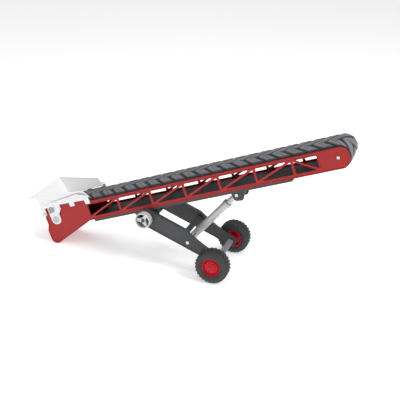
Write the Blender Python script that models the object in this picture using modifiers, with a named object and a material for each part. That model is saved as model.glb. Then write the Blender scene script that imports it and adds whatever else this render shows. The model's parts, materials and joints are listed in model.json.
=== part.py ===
"""Toy-scale mobile belt conveyor: a red lattice boom with a chevron belt, a tilting
hopper, a hand wheel drive, and a wheeled undercarriage with a telescopic strut.

Lengths are in metres. The boom is modelled in its own inclined frame: x along the
belt towards the head, y across it, z square to it. The near side is -y.
"""

import math

import bmesh
import bpy
from mathutils import Matrix, Vector

ASSEMBLY_NAME = "belt_conveyor"
CLEARANCE = 0.0003

# Boom
BOOM_TILT = math.radians(20.7)
BOOM_X = 0.03084
POST_PITCH = 0.0798
FIRST_POST = -0.2607
FULL_CELLS = 6
LAST_WINDOW_END = 0.269
RAIL_TOP = 0.0214
WINDOW_TOP = 0.0142
WINDOW_BOTTOM = -0.0136
POST_WIDTH = 0.0052
DIAGONAL_WIDTH = 0.0042
BOOM_HALF_WIDTH = 0.0425
SIDE_INNER = 0.0389
WEB_OUTER = 0.0413
RIM_WIDTH = 0.0018
HEAD_END = 0.3315

# Foot of the boom
FOOT_LEFT = -0.380
FOOT_TOP = 0.026
HEEL_RADIUS = 0.014
HEEL_Z = -0.045
FOOT_SLOPE = math.radians(20.8)

# Belt and rollers
HEAD_ROLLER_X = 0.3095
TAIL_ROLLER_X = -0.342
ROLLER_Z = 0.00165
ROLLER_RADIUS = 0.0184
BELT_INNER_RADIUS = ROLLER_RADIUS + CLEARANCE
BELT_OUTER_RADIUS = BELT_INNER_RADIUS + 0.0026
CLEAT_HEIGHT = 0.00405
BELT_HALF_WIDTH = 0.037
CLEAT_COUNT = 50
CLEAT_LEAN = 0.022
CLEAT_BASE = 0.019
CLEAT_CREST = 0.011
PIN_RADIUS = 0.002

# Drive under the boom, on the same axis as the arm pivot
PIVOT_X = -0.1245
PIVOT_Z = -0.038
DRIVE_RADIUS = 0.0137
DRIVE_ROOT = 0.0118
HAND_WHEEL_RADIUS = 0.0175
HAND_WHEEL_INNER = 0.055
HAND_WHEEL_OUTER = 0.070

# Undertray
TRAY_TOP = -0.0241
TRAY_BOTTOM = -0.0267
TRAY_LEFT = -0.254
TRAY_RIGHT = 0.2075

# Undercarriage
WHEEL_X = 0.08884
WHEEL_RADIUS = 0.0362
RIM_RADIUS = 0.0205
WHEEL_OUTER = 0.0918
WHEEL_INNER = 0.0596
LUG_COUNT = 18
ARM_INNER = 0.044
ARM_OUTER = 0.054
STRUT_FOOT_ALONG = 0.1045
STRUT_FOOT_ABOVE = 0.002
BRACE_ALONG = 0.0895
BRACE_ABOVE = 0.0125

# Strut
STRUT_HEAD_X = 0.0775
STRUT_HEAD_Z = -0.0387
STRUT_TUBE_END = 0.108
STRUT_TUBE_RADIUS = 0.0083
STRUT_ROD_RADIUS = 0.0061
STRUT_PIN_RADIUS = 0.0024
OPEN_PIVOT_RADIUS = 0.0052

# Hopper
HOPPER_HINGE_X = -0.3716
HOPPER_HINGE_Z = 0.0134
HOPPER_LEFT = -0.3765
HOPPER_LEFT_Z = 0.0638
HOPPER_RIGHT = -0.2585
HOPPER_RIGHT_Z = 0.0465
HOPPER_LEFT_HALF = 0.068
HOPPER_RIGHT_HALF = 0.040
HOPPER_WALL = 0.0018
RIVET_RADIUS = 0.0018

RED = (0.42, 0.012, 0.016)
DARK_GREY = (0.035, 0.038, 0.042)
BELT_GREY = (0.085, 0.087, 0.095)
TYRE_BLACK = (0.03, 0.032, 0.032)
HUB_RED = (0.45, 0.008, 0.014)
HOPPER_WHITE = (0.78, 0.79, 0.80)
SILVER = (0.52, 0.53, 0.55)
BEAM_GREY = (0.16, 0.17, 0.19)
STEEL = (0.62, 0.62, 0.63)


def foot_height():
    """Height of the boom frame's origin that puts the round heel on the ground."""
    heel_x = FOOT_LEFT + HEEL_RADIUS
    return HEEL_RADIUS - heel_x * math.sin(BOOM_TILT) - HEEL_Z * math.cos(BOOM_TILT)


BOOM_Z = foot_height()


def boom_to_world(x, z):
    """World x and z of a point of the boom's side view."""
    world_x = BOOM_X + x * math.cos(BOOM_TILT) - z * math.sin(BOOM_TILT)
    world_z = BOOM_Z + x * math.sin(BOOM_TILT) + z * math.cos(BOOM_TILT)
    return Vector((world_x, 0.0, world_z))


def clear_scene():
    for obj in list(bpy.data.objects):
        bpy.data.objects.remove(obj, do_unlink=True)


def make_collection(name):
    collection = bpy.data.collections.new(name)
    bpy.context.scene.collection.children.link(collection)
    return collection


def make_material(name, colour, roughness, metallic=0.0):
    material = bpy.data.materials.new(name)
    material.use_nodes = True
    shader = material.node_tree.nodes["Principled BSDF"]
    shader.inputs["Base Color"].default_value = (*colour, 1.0)
    shader.inputs["Roughness"].default_value = roughness
    shader.inputs["Metallic"].default_value = metallic
    material.diffuse_color = (*colour, 1.0)
    return material


clear_scene()
parts = make_collection(ASSEMBLY_NAME)
cutters = make_collection("cutters")

red_plastic = make_material("red_plastic", RED, 0.32)
dark_plastic = make_material("dark_plastic", DARK_GREY, 0.42)
belt_rubber = make_material("belt_rubber", BELT_GREY, 0.55)
tyre_rubber = make_material("tyre_rubber", TYRE_BLACK, 0.65)
hub_plastic = make_material("hub_plastic", HUB_RED, 0.25)
white_plastic = make_material("white_plastic", HOPPER_WHITE, 0.4)
silver_plastic = make_material("silver_plastic", SILVER, 0.33, 0.35)
grey_plastic = make_material("grey_plastic", BEAM_GREY, 0.45)
steel = make_material("steel", STEEL, 0.25, 1.0)


def make_axis(name, location, tilt, parent=None):
    """An empty whose x axis rises by tilt in the side view."""
    axis = bpy.data.objects.new(name, None)
    axis.location = location
    axis.rotation_euler = (0.0, -tilt, 0.0)
    axis.parent = parent
    parts.objects.link(axis)
    return axis


def place(obj, material, parent, location=(0.0, 0.0, 0.0)):
    """Put a finished object in the assembly under its axis."""
    obj.location = location
    obj.parent = parent
    if material is not None and not obj.data.materials:
        obj.data.materials.append(material)
    if obj.name not in parts.objects:
        parts.objects.link(obj)
    return obj


def as_cutter(obj, parent, location=(0.0, 0.0, 0.0)):
    """Keep a helper solid out of the assembly and of renders."""
    obj.location = location
    obj.parent = parent
    obj.display_type = "WIRE"
    obj.hide_render = True
    cutters.objects.link(obj)
    return obj


def round_corners(corners, step=math.radians(20)):
    """Points of an outline whose corners (x, z, radius) are rounded with arcs."""
    points = []
    count = len(corners)
    for index, (x, z, radius) in enumerate(corners):
        corner = Vector((x, z))
        before = Vector(corners[index - 1][:2]) - corner
        after = Vector(corners[(index + 1) % count][:2]) - corner
        if radius <= 0.0:
            points.append(corner)
            continue
        before.normalize()
        after.normalize()
        opening = before.angle(after)
        reach = radius / math.tan(opening / 2)
        centre = corner + (before + after).normalized() * radius / math.sin(opening / 2)
        start = corner + before * reach - centre
        turn = (corner + after * reach - centre).angle_signed(start)
        steps = max(1, math.ceil(abs(turn) / step))
        for number in range(steps + 1):
            rotation = Matrix.Rotation(turn * number / steps, 2)
            points.append(centre + rotation @ start)
    return points


def inset_corners(corners, distance):
    """Corners of a clockwise or anticlockwise outline moved inwards by distance."""
    area = sum(
        corners[i - 1][0] * corners[i][1] - corners[i][0] * corners[i - 1][1]
        for i in range(len(corners))
    )
    side = math.copysign(1.0, area)
    moved = []
    count = len(corners)
    for index, (x, z, radius) in enumerate(corners):
        corner = Vector((x, z))
        towards = (corner - Vector(corners[index - 1][:2])).normalized()
        away = (Vector(corners[(index + 1) % count][:2]) - corner).normalized()
        normal_in = Vector((-towards.y, towards.x)) * side
        normal_out = Vector((-away.y, away.x)) * side
        bisector = (normal_in + normal_out).normalized()
        shift = bisector * distance / max(0.3, bisector.dot(normal_in))
        moved.append((corner.x + shift.x, corner.y + shift.y, max(0.0, radius - distance)))
    return moved


def circle(x, z, radius, count=20):
    """Points of a circle, for a hole or a disc."""
    return [
        Vector((x + radius * math.cos(math.tau * i / count), z + radius * math.sin(math.tau * i / count)))
        for i in range(count)
    ]


def plate(name, outline, y_from, y_to, holes=()):
    """A flat plate standing in the side view between two y values, as a welded mesh."""
    curve = bpy.data.curves.new(name, "CURVE")
    curve.dimensions = "2D"
    curve.fill_mode = "BOTH"
    curve.extrude = abs(y_to - y_from) / 2
    for points in (outline, *holes):
        spline = curve.splines.new("POLY")
        spline.points.add(len(points) - 1)
        for point, target in zip(spline.points, points):
            point.co = (target[0], target[1], 0.0, 1.0)
        spline.use_cyclic_u = True
    upright = Matrix.Translation((0.0, (y_from + y_to) / 2, 0.0)) @ Matrix.Rotation(math.pi / 2, 4, "X")
    return curve_to_mesh(name, curve, upright)


def curve_to_mesh(name, curve, transform=Matrix.Identity(4)):
    """The closed mesh of a curve, with its loose caps welded on."""
    holder = bpy.data.objects.new(name + "_curve", curve)
    bpy.context.scene.collection.objects.link(holder)
    evaluated = holder.evaluated_get(bpy.context.evaluated_depsgraph_get())
    mesh = bpy.data.meshes.new_from_object(evaluated)
    bpy.data.objects.remove(holder)
    bpy.data.curves.remove(curve)
    mesh.transform(transform)
    shape = bmesh.new()
    shape.from_mesh(mesh)
    bmesh.ops.remove_doubles(shape, verts=shape.verts, dist=0.000001)
    bmesh.ops.recalc_face_normals(shape, faces=shape.faces)
    bmesh.ops.dissolve_limit(shape, angle_limit=0.001, verts=shape.verts, edges=shape.edges)
    shape.to_mesh(mesh)
    shape.free()
    mesh.name = name
    return bpy.data.objects.new(name, mesh)


def box(name, size, centre=(0.0, 0.0, 0.0)):
    """A box of full size (x, y, z) about a centre."""
    mesh = bpy.data.meshes.new(name)
    shape = bmesh.new()
    bmesh.ops.create_cube(shape, size=1.0)
    bmesh.ops.scale(shape, verts=shape.verts, vec=size)
    bmesh.ops.translate(shape, verts=shape.verts, vec=centre)
    shape.to_mesh(mesh)
    shape.free()
    return bpy.data.objects.new(name, mesh)


def cylinder(name, radius, y_from, y_to, segments=32, centre=(0.0, 0.0)):
    """A solid round bar along y, about a point (x, z) of the side view."""
    mesh = bpy.data.meshes.new(name)
    shape = bmesh.new()
    bmesh.ops.create_cone(
        shape, cap_ends=True, segments=segments, radius1=radius, radius2=radius, depth=abs(y_to - y_from)
    )
    along_y = Matrix.Rotation(-math.pi / 2, 4, "X")
    move = Matrix.Translation((centre[0], (y_from + y_to) / 2, centre[1]))
    bmesh.ops.transform(shape, matrix=move @ along_y, verts=shape.verts)
    shape.to_mesh(mesh)
    shape.free()
    return bpy.data.objects.new(name, mesh)


def turned(name, profile, steps=36):
    """A turned shape about the local z axis from (radius, height) points.

    The profile runs down the outer side, and back up the bore where there is one.
    """
    mesh = bpy.data.meshes.new(name)
    points = [(radius, 0.0, height) for radius, height in profile]
    closed = profile[0][0] > 0.0 and profile[-1][0] > 0.0
    count = len(points)
    edges = [(i, (i + 1) % count) for i in range(count if closed else count - 1)]
    mesh.from_pydata(points, edges, [])
    obj = bpy.data.objects.new(name, mesh)
    screw = obj.modifiers.new("turn", "SCREW")
    screw.steps = steps
    screw.render_steps = steps
    screw.use_merge_vertices = True
    screw.merge_threshold = 0.00001
    screw.use_smooth_shade = True
    return obj


ALONG_Y = (-math.pi / 2, 0.0, 0.0)
ALONG_X = (0.0, math.pi / 2, 0.0)


def boolean(obj, tool, operation, solver="EXACT"):
    modifier = obj.modifiers.new(operation.lower() + "_" + tool.name, "BOOLEAN")
    modifier.operation = operation
    modifier.object = tool
    modifier.solver = solver


def merged(objects, name):
    """One mesh of several solids that don't touch each other."""
    shape = bmesh.new()
    for obj in objects:
        shape.from_mesh(obj.data)
        bpy.data.objects.remove(obj)
    mesh = bpy.data.meshes.new(name)
    shape.to_mesh(mesh)
    shape.free()
    return bpy.data.objects.new(name, mesh)


# ---------------------------------------------------------------- side frames


def foot_corners():
    """The outline of a side frame, clockwise from the head end's upper corner."""
    heel_x = FOOT_LEFT + HEEL_RADIUS
    tangent_x = heel_x + HEEL_RADIUS * math.sin(FOOT_SLOPE)
    tangent_z = HEEL_Z - HEEL_RADIUS * math.cos(FOOT_SLOPE)
    slope = math.tan(FOOT_SLOPE)
    knee_x = tangent_x + (-RAIL_TOP - tangent_z) / slope
    corner_z = tangent_z + (FOOT_LEFT - tangent_x) * slope
    return [
        (HEAD_END, RAIL_TOP, 0.017),
        (HEAD_END, -0.0085, 0.011),
        (HEAD_END - 0.013, -RAIL_TOP, 0.008),
        (knee_x, -RAIL_TOP, 0.004),
        (FOOT_LEFT, corner_z, HEEL_RADIUS),
        (FOOT_LEFT, -0.026, 0.006),
        (FOOT_LEFT + 0.0065, -0.012, 0.006),
        (FOOT_LEFT + 0.0065, FOOT_TOP, 0.004),
        (FIRST_POST + 0.010, FOOT_TOP, 0.003),
        (FIRST_POST + 0.018, RAIL_TOP, 0.003),
    ]


def window_triangles(left, right, falling, grow=0.0, radius=0.0022):
    """The two triangular openings of a lattice cell on each side of its diagonal.

    The cells grow very slightly taller towards the middle of the boom.
    """
    middle = (FIRST_POST + LAST_WINDOW_END) / 2
    bow = 0.0003 * (1 - ((left - middle) / (LAST_WINDOW_END - middle)) ** 2)
    low, high = WINDOW_BOTTOM - grow - bow, WINDOW_TOP + grow + bow
    left, right = left - grow, right + grow
    slope = math.atan2(high - low, right - left)
    half = DIAGONAL_WIDTH / 2 - grow
    along = half / math.sin(slope)
    up = half / math.cos(slope)
    upper = [(left, high, radius), (right - along, high, radius / 2), (left, low + up, radius / 2)]
    lower = [(right, low, radius), (left + along, low, radius / 2), (right, high - up, radius / 2)]
    if falling:
        upper = [(left + right - x, z, r) for x, z, r in upper]
        lower = [(left + right - x, z, r) for x, z, r in lower]
    return [round_corners(upper, math.radians(40)), round_corners(lower, math.radians(40))]


def lattice_windows(grow=0.0):
    """Every opening of the boom's lattice: six full cells and a short last one."""
    openings = []
    half_post = POST_WIDTH / 2
    for cell in range(FULL_CELLS):
        left = FIRST_POST + cell * POST_PITCH + half_post
        openings += window_triangles(left, left + POST_PITCH - POST_WIDTH, False, grow)
    last_left = FIRST_POST + FULL_CELLS * POST_PITCH + half_post
    openings += window_triangles(last_left, LAST_WINDOW_END, True, grow)
    return openings


def side_frame(name, side):
    """One moulded side of the boom: web, raised rim and raised lattice, as one solid."""
    pin_hole = PIN_RADIUS + CLEARANCE
    bores = [circle(HEAD_ROLLER_X, ROLLER_Z, pin_hole), circle(TAIL_ROLLER_X, ROLLER_Z, pin_hole)]
    outline = foot_corners()
    web = plate(
        name,
        round_corners(inset_corners(outline, RIM_WIDTH / 2)),
        side * (SIDE_INNER + 0.0003),
        side * WEB_OUTER,
        lattice_windows() + bores,
    )
    rim = plate(
        name + "_rim",
        round_corners(outline),
        side * SIDE_INNER,
        side * BOOM_HALF_WIDTH,
        [round_corners(inset_corners(outline, RIM_WIDTH))],
    )
    band = [
        (FIRST_POST - 0.001, WINDOW_TOP + 0.0017, 0.001),
        (LAST_WINDOW_END + 0.0019, WINDOW_TOP + 0.0017, 0.004),
        (LAST_WINDOW_END + 0.0019, WINDOW_BOTTOM - 0.0017, 0.004),
        (FIRST_POST - 0.001, WINDOW_BOTTOM - 0.0017, 0.001),
    ]
    lattice = plate(
        name + "_lattice",
        round_corners(band),
        side * (SIDE_INNER + 0.0008),
        side * (WEB_OUTER + 0.0009),
        lattice_windows(0.0004),
    )
    boss = plate(
        name + "_boss",
        circle(HEAD_ROLLER_X, ROLLER_Z, 0.0052),
        side * (WEB_OUTER - 0.0008),
        side * (WEB_OUTER + 0.0006),
        [circle(HEAD_ROLLER_X, ROLLER_Z, pin_hole + 0.0004)],
    )
    hinge_boss = plate(
        name + "_hinge_boss",
        circle(HOPPER_HINGE_X, HOPPER_HINGE_Z, 0.0046),
        side * (SIDE_INNER + 0.0001),
        side * (BOOM_HALF_WIDTH - 0.0001),
    )
    for tool in (rim, lattice, boss, hinge_boss):
        as_cutter(tool, boom_axis)
        boolean(web, tool, "UNION", "MANIFOLD")
    hinge_place = (HOPPER_HINGE_X, HOPPER_HINGE_Z)
    bore_radius = RIVET_RADIUS + CLEARANCE
    hinge_bore = cylinder(name + "_bore", bore_radius, side * 0.030, side * 0.050, 24, hinge_place)
    as_cutter(hinge_bore, boom_axis)
    boolean(web, hinge_bore, "DIFFERENCE", "MANIFOLD")
    return place(web, red_plastic, boom_axis)


def foot_pan():
    """The red floor of the foot, which closes it under the tail roller."""
    heel_x = FOOT_LEFT + HEEL_RADIUS
    wall = 0.0022
    gap = RIM_WIDTH + 0.0004
    outline = [
        (FOOT_LEFT + 0.0065 + gap, 0.012),
        (FOOT_LEFT + 0.0065 + gap, -0.012),
        (FOOT_LEFT + gap, -0.027),
        (FOOT_LEFT + gap, HEEL_Z),
    ]
    steps = 8
    heel_arc = math.pi / 2 - FOOT_SLOPE
    inner_radius = HEEL_RADIUS - gap
    for index in range(1, steps + 1):
        angle = math.pi + heel_arc * index / steps
        outline.append((heel_x + inner_radius * math.cos(angle), HEEL_Z + inner_radius * math.sin(angle)))
    last_x, last_z = outline[-1]
    end_x = TRAY_LEFT - 0.040
    outline.append((end_x, last_z + (end_x - last_x) * math.tan(FOOT_SLOPE)))
    half = SIDE_INNER - CLEARANCE
    rows = []
    mesh = bpy.data.meshes.new("foot_pan")
    shape = bmesh.new()
    for x, z in outline:
        rows.append([shape.verts.new((x, y, z)) for y in (-half, half)])
    for lower, upper in zip(rows, rows[1:]):
        shape.faces.new((lower[0], lower[1], upper[1], upper[0]))
    bmesh.ops.recalc_face_normals(shape, faces=shape.faces)
    shape.to_mesh(mesh)
    shape.free()
    obj = bpy.data.objects.new("foot_pan", mesh)
    solid = obj.modifiers.new("wall", "SOLIDIFY")
    solid.thickness = wall
    solid.offset = 1.0 if mesh.polygons[3].normal.x > 0 else -1.0
    solid.use_even_offset = True
    return place(obj, red_plastic, boom_axis)


# ------------------------------------------------------------ belt and rollers


def belt_length():
    """Length of the belt's outer face, once round."""
    return 2 * (HEAD_ROLLER_X - TAIL_ROLLER_X) + math.tau * BELT_OUTER_RADIUS


def belt_point(distance, height):
    """Boom x and z of a point on the belt at a distance round its outer face."""
    straight = HEAD_ROLLER_X - TAIL_ROLLER_X
    bend = math.pi * BELT_OUTER_RADIUS
    radius = BELT_OUTER_RADIUS + height
    distance %= 2 * (straight + bend)
    if distance < straight:
        return TAIL_ROLLER_X + distance, ROLLER_Z + radius
    distance -= straight
    if distance < bend:
        angle = math.pi / 2 - distance / BELT_OUTER_RADIUS
        return HEAD_ROLLER_X + radius * math.cos(angle), ROLLER_Z + radius * math.sin(angle)
    distance -= bend
    if distance < straight:
        return HEAD_ROLLER_X - distance, ROLLER_Z - radius
    distance -= straight
    angle = -math.pi / 2 - distance / BELT_OUTER_RADIUS
    return TAIL_ROLLER_X + radius * math.cos(angle), ROLLER_Z + radius * math.sin(angle)


def racetrack(radius, count=24):
    """The side view of the belt loop at a radius about its rollers."""
    points = []
    for centre, start in ((HEAD_ROLLER_X, math.pi / 2), (TAIL_ROLLER_X, -math.pi / 2)):
        for index in range(count + 1):
            angle = start - math.pi * index / count
            points.append((centre + radius * math.cos(angle), ROLLER_Z + radius * math.sin(angle)))
    return points


def chevron_cleats(name):
    """All chevron cleats: each apex trails and both ends lead towards the head."""
    shape = bmesh.new()
    pitch = belt_length() / CLEAT_COUNT
    reach = BELT_HALF_WIDTH - 0.0008
    columns = 2
    for number in range(CLEAT_COUNT):
        rows = []
        for column in range(-columns, columns + 1):
            y = reach * column / columns
            middle = number * pitch + CLEAT_LEAN * abs(column) / columns
            section = (
                (-CLEAT_BASE / 2, -0.0006),
                (-CLEAT_CREST / 2, CLEAT_HEIGHT),
                (CLEAT_CREST / 2, CLEAT_HEIGHT),
                (CLEAT_BASE / 2, -0.0006),
                (0.0, -0.0006),
            )
            row = []
            for offset, height in section:
                x, z = belt_point(middle + offset, height)
                row.append(shape.verts.new((x, y, z)))
            rows.append(row)
        for first, second in zip(rows, rows[1:]):
            for corner in range(len(first)):
                following = (corner + 1) % len(first)
                shape.faces.new((first[corner], first[following], second[following], second[corner]))
        shape.faces.new(rows[0])
        shape.faces.new(list(reversed(rows[-1])))
    bmesh.ops.recalc_face_normals(shape, faces=shape.faces)
    mesh = bpy.data.meshes.new(name)
    shape.to_mesh(mesh)
    shape.free()
    return bpy.data.objects.new(name, mesh)


def conveyor_belt():
    band = plate(
        "conveyor_belt",
        racetrack(BELT_OUTER_RADIUS),
        -BELT_HALF_WIDTH,
        BELT_HALF_WIDTH,
        [racetrack(BELT_INNER_RADIUS)],
    )
    cleats = as_cutter(chevron_cleats("cleats"), boom_axis)
    boolean(band, cleats, "UNION")
    return place(band, belt_rubber, boom_axis)


def roller(name, x):
    """A turned belt roller with end flanges left off, bored for its pin."""
    half = BELT_HALF_WIDTH - 0.001
    bore = PIN_RADIUS + CLEARANCE
    profile = [
        (bore, half),
        (ROLLER_RADIUS - 0.001, half),
        (ROLLER_RADIUS, half - 0.001),
        (ROLLER_RADIUS, -half + 0.001),
        (ROLLER_RADIUS - 0.001, -half),
        (bore, -half),
    ]
    obj = turned(name, profile, 24)
    obj.rotation_euler = ALONG_Y
    return place(obj, dark_plastic, boom_axis, (x, 0.0, ROLLER_Z))


def tail_roller_pin():
    """The plain pin of the tail roller, flush behind the hopper's ears."""
    reach = BOOM_HALF_WIDTH - CLEARANCE
    obj = cylinder("tail_roller_pin", PIN_RADIUS, -reach, reach, 24)
    return place(obj, steel, boom_axis, (TAIL_ROLLER_X, 0.0, ROLLER_Z))


def head_roller_pin():
    """The pin through the head roller, with a flat head outside each side frame."""
    face = WEB_OUTER + 0.0006 + CLEARANCE
    head = face + 0.0012
    profile = [
        (0.0, head),
        (0.0030, head),
        (0.0034, head - 0.0004),
        (0.0034, face),
        (PIN_RADIUS, face),
        (PIN_RADIUS, -face),
        (0.0034, -face),
        (0.0034, -head + 0.0004),
        (0.0030, -head),
        (0.0, -head),
    ]
    obj = turned("head_roller_pin", profile, 20)
    obj.rotation_euler = ALONG_Y
    return place(obj, steel, boom_axis, (HEAD_ROLLER_X, 0.0, ROLLER_Z))


def slider_bed():
    """The flat bed that carries the belt's upper run between the rollers."""
    top = ROLLER_Z + BELT_INNER_RADIUS - 2 * CLEARANCE
    half = SIDE_INNER - CLEARANCE
    left = TAIL_ROLLER_X + 0.011
    right = HEAD_ROLLER_X - 0.011
    size = (right - left, 2 * half, 0.0018)
    obj = box("slider_bed", size, ((left + right) / 2, 0.0, top - 0.0009))
    return place(obj, dark_plastic, boom_axis)


def tie_bar(name, post):
    """A round spacer between the side frames, behind a lattice post."""
    reach = SIDE_INNER - CLEARANCE
    obj = cylinder(name, 0.0018, -reach, reach, 16)
    return place(obj, steel, boom_axis, (FIRST_POST + post * POST_PITCH, 0.0, 0.0140))


def undertray():
    """The dark plate under the return run, with a slot for the drive roller."""
    half = BOOM_HALF_WIDTH - 0.0012
    corners = [
        (TRAY_LEFT, TRAY_TOP, 0.0),
        (TRAY_RIGHT + 0.004, TRAY_TOP, 0.0),
        (TRAY_RIGHT, TRAY_BOTTOM, 0.0),
        (TRAY_LEFT, TRAY_BOTTOM, 0.0),
    ]
    tray = plate("undertray", round_corners(corners), -half, half)
    lip_height = -RAIL_TOP - CLEARANCE - TRAY_TOP
    for side in (-1, 1):
        size = (TRAY_RIGHT - TRAY_LEFT - 0.001, 0.0020, lip_height + 0.0006)
        middle_x = (TRAY_LEFT + TRAY_RIGHT) / 2
        centre = (middle_x, side * (half - 0.0012), TRAY_TOP + lip_height / 2 - 0.0003)
        lip = as_cutter(box("tray_lip", size, centre), boom_axis)
        boolean(tray, lip, "UNION")
    slot = as_cutter(box("tray_slot", (0.021, 0.0400, 0.010), (PIVOT_X, 0.0, TRAY_TOP)), boom_axis)
    boolean(tray, slot, "DIFFERENCE")
    return place(tray, dark_plastic, boom_axis)


# ------------------------------------------------------- hand wheel and drive


def drive_shaft():
    """The steel shaft that carries the drive roller and the hand wheel."""
    obj = cylinder("drive_shaft", 0.0025, -HAND_WHEEL_OUTER + 0.0040, ARM_OUTER + 0.0030, 24)
    return place(obj, steel, boom_axis, (PIVOT_X, 0.0, PIVOT_Z))


def drive_roller():
    """The toothed roller that drives the return run from below."""
    teeth = 14
    points = []
    for tooth in range(teeth):
        corners = ((0.0, DRIVE_RADIUS), (0.45, DRIVE_RADIUS), (0.6, DRIVE_ROOT), (0.85, DRIVE_ROOT))
        for fraction, radius in corners:
            angle = math.tau * (tooth + fraction) / teeth
            points.append(Vector((radius * math.cos(angle), radius * math.sin(angle))))
    bore = circle(0.0, 0.0, 0.0025 + CLEARANCE)
    obj = plate("drive_roller", points, -0.0185, 0.0185, [bore])
    return place(obj, dark_plastic, boom_axis, (PIVOT_X, 0.0, PIVOT_Z))


def hand_wheel():
    """A deep three-spoked hand wheel with grip notches round its rim."""
    depth = HAND_WHEEL_OUTER - HAND_WHEEL_INNER
    inner = HAND_WHEEL_RADIUS - 0.0028
    rim = turned(
        "hand_wheel",
        [
            (inner, depth / 2),
            (HAND_WHEEL_RADIUS - 0.0010, depth / 2),
            (HAND_WHEEL_RADIUS, depth / 2 - 0.0010),
            (HAND_WHEEL_RADIUS, -depth / 2 + 0.0010),
            (HAND_WHEEL_RADIUS - 0.0010, -depth / 2),
            (inner, -depth / 2),
        ],
    )
    rim.rotation_euler = ALONG_Y
    location = (PIVOT_X, -(HAND_WHEEL_INNER + HAND_WHEEL_OUTER) / 2, PIVOT_Z)
    spoke_outline = []
    for spoke in range(3):
        angle = math.radians(42) + math.tau * spoke / 3
        direction = Vector((math.cos(angle), math.sin(angle)))
        across = Vector((-direction.y, direction.x))
        reach = inner + 0.0010
        spoke_outline.append(direction * reach - across * 0.0026)
        spoke_outline.append(direction * reach + across * 0.0026)
        valley = angle + math.pi / 3
        spoke_outline.append(Vector((math.cos(valley), math.sin(valley))) * 0.0054)
    bore = circle(0.0, 0.0, 0.0025 + CLEARANCE)
    spokes = plate("spokes", spoke_outline, -0.0035, 0.0035, [bore])
    as_cutter(spokes, boom_axis, location)
    boolean(rim, spokes, "UNION")
    notches = []
    count = 12
    for notch in range(count):
        angle = math.tau * (notch + 0.5) / count
        radius = HAND_WHEEL_RADIUS + 0.0012
        notches.append(
            cylinder("notch", 0.0022, -depth, depth, 12, (radius * math.cos(angle), radius * math.sin(angle)))
        )
    grip = as_cutter(merged(notches, "grip_notches"), boom_axis, location)
    boolean(rim, grip, "DIFFERENCE")
    return place(rim, silver_plastic, boom_axis, location)


def hand_wheel_screw():
    """The dark screw that holds the hand wheel on its shaft."""
    inner = HAND_WHEEL_OUTER - 0.0040 + CLEARANCE
    obj = turned(
        "hand_wheel_screw",
        [
            (0.0, inner + 0.0022),
            (0.0030, inner + 0.0022),
            (0.0038, inner + 0.0014),
            (0.0038, inner),
            (0.0, inner),
        ],
        24,
    )
    obj.rotation_euler = (math.pi / 2, 0.0, 0.0)
    return place(obj, dark_plastic, boom_axis, (PIVOT_X, 0.0, PIVOT_Z))


def pivot_lug(name, side):
    """A lug under the undertray that carries the drive shaft and the arm pivot."""
    top = TRAY_BOTTOM - CLEARANCE
    corners = [
        (PIVOT_X - 0.030, top, 0.0),
        (PIVOT_X + 0.0315, top, 0.0),
        (PIVOT_X + 0.0255, PIVOT_Z - 0.003, 0.005),
        (PIVOT_X + 0.010, PIVOT_Z - 0.011, 0.008),
        (PIVOT_X - 0.010, PIVOT_Z - 0.011, 0.008),
        (PIVOT_X - 0.024, PIVOT_Z, 0.005),
    ]
    bore = circle(PIVOT_X, PIVOT_Z, 0.0025 + CLEARANCE)
    obj = plate(name, round_corners(corners), side * 0.0335, side * 0.0375, [bore])
    return place(obj, dark_plastic, boom_axis)


def strut_lug(name, side):
    """A lug under the undertray that holds the head of the strut."""
    top = TRAY_BOTTOM - CLEARANCE
    x, z = STRUT_HEAD_X, STRUT_HEAD_Z
    corners = [
        (x - 0.012, top, 0.0),
        (x + 0.025, top, 0.0),
        (x + 0.017, z - 0.002, 0.006),
        (x + 0.010, z - 0.014, 0.006),
        (x - 0.007, z - 0.012, 0.005),
        (x - 0.0095, z - 0.004, 0.004),
    ]
    bore = circle(x, z, STRUT_PIN_RADIUS + CLEARANCE)
    obj = plate(name, round_corners(corners), side * 0.0145, side * 0.0190, [bore])
    return place(obj, dark_plastic, boom_axis)


def strut_head_pin():
    """The fixed pin across the two strut lugs."""
    face = 0.0190 + CLEARANCE
    profile = [
        (0.0, face + 0.0012),
        (0.0036, face + 0.0012),
        (0.0036, face),
        (STRUT_PIN_RADIUS, face),
        (STRUT_PIN_RADIUS, -face),
        (0.0036, -face),
        (0.0036, -face - 0.0012),
        (0.0, -face - 0.0012),
    ]
    obj = turned("strut_head_pin", profile, 16)
    obj.rotation_euler = ALONG_Y
    return place(obj, steel, boom_axis, (STRUT_HEAD_X, 0.0, STRUT_HEAD_Z))


# -------------------------------------------------------------- undercarriage


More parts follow.
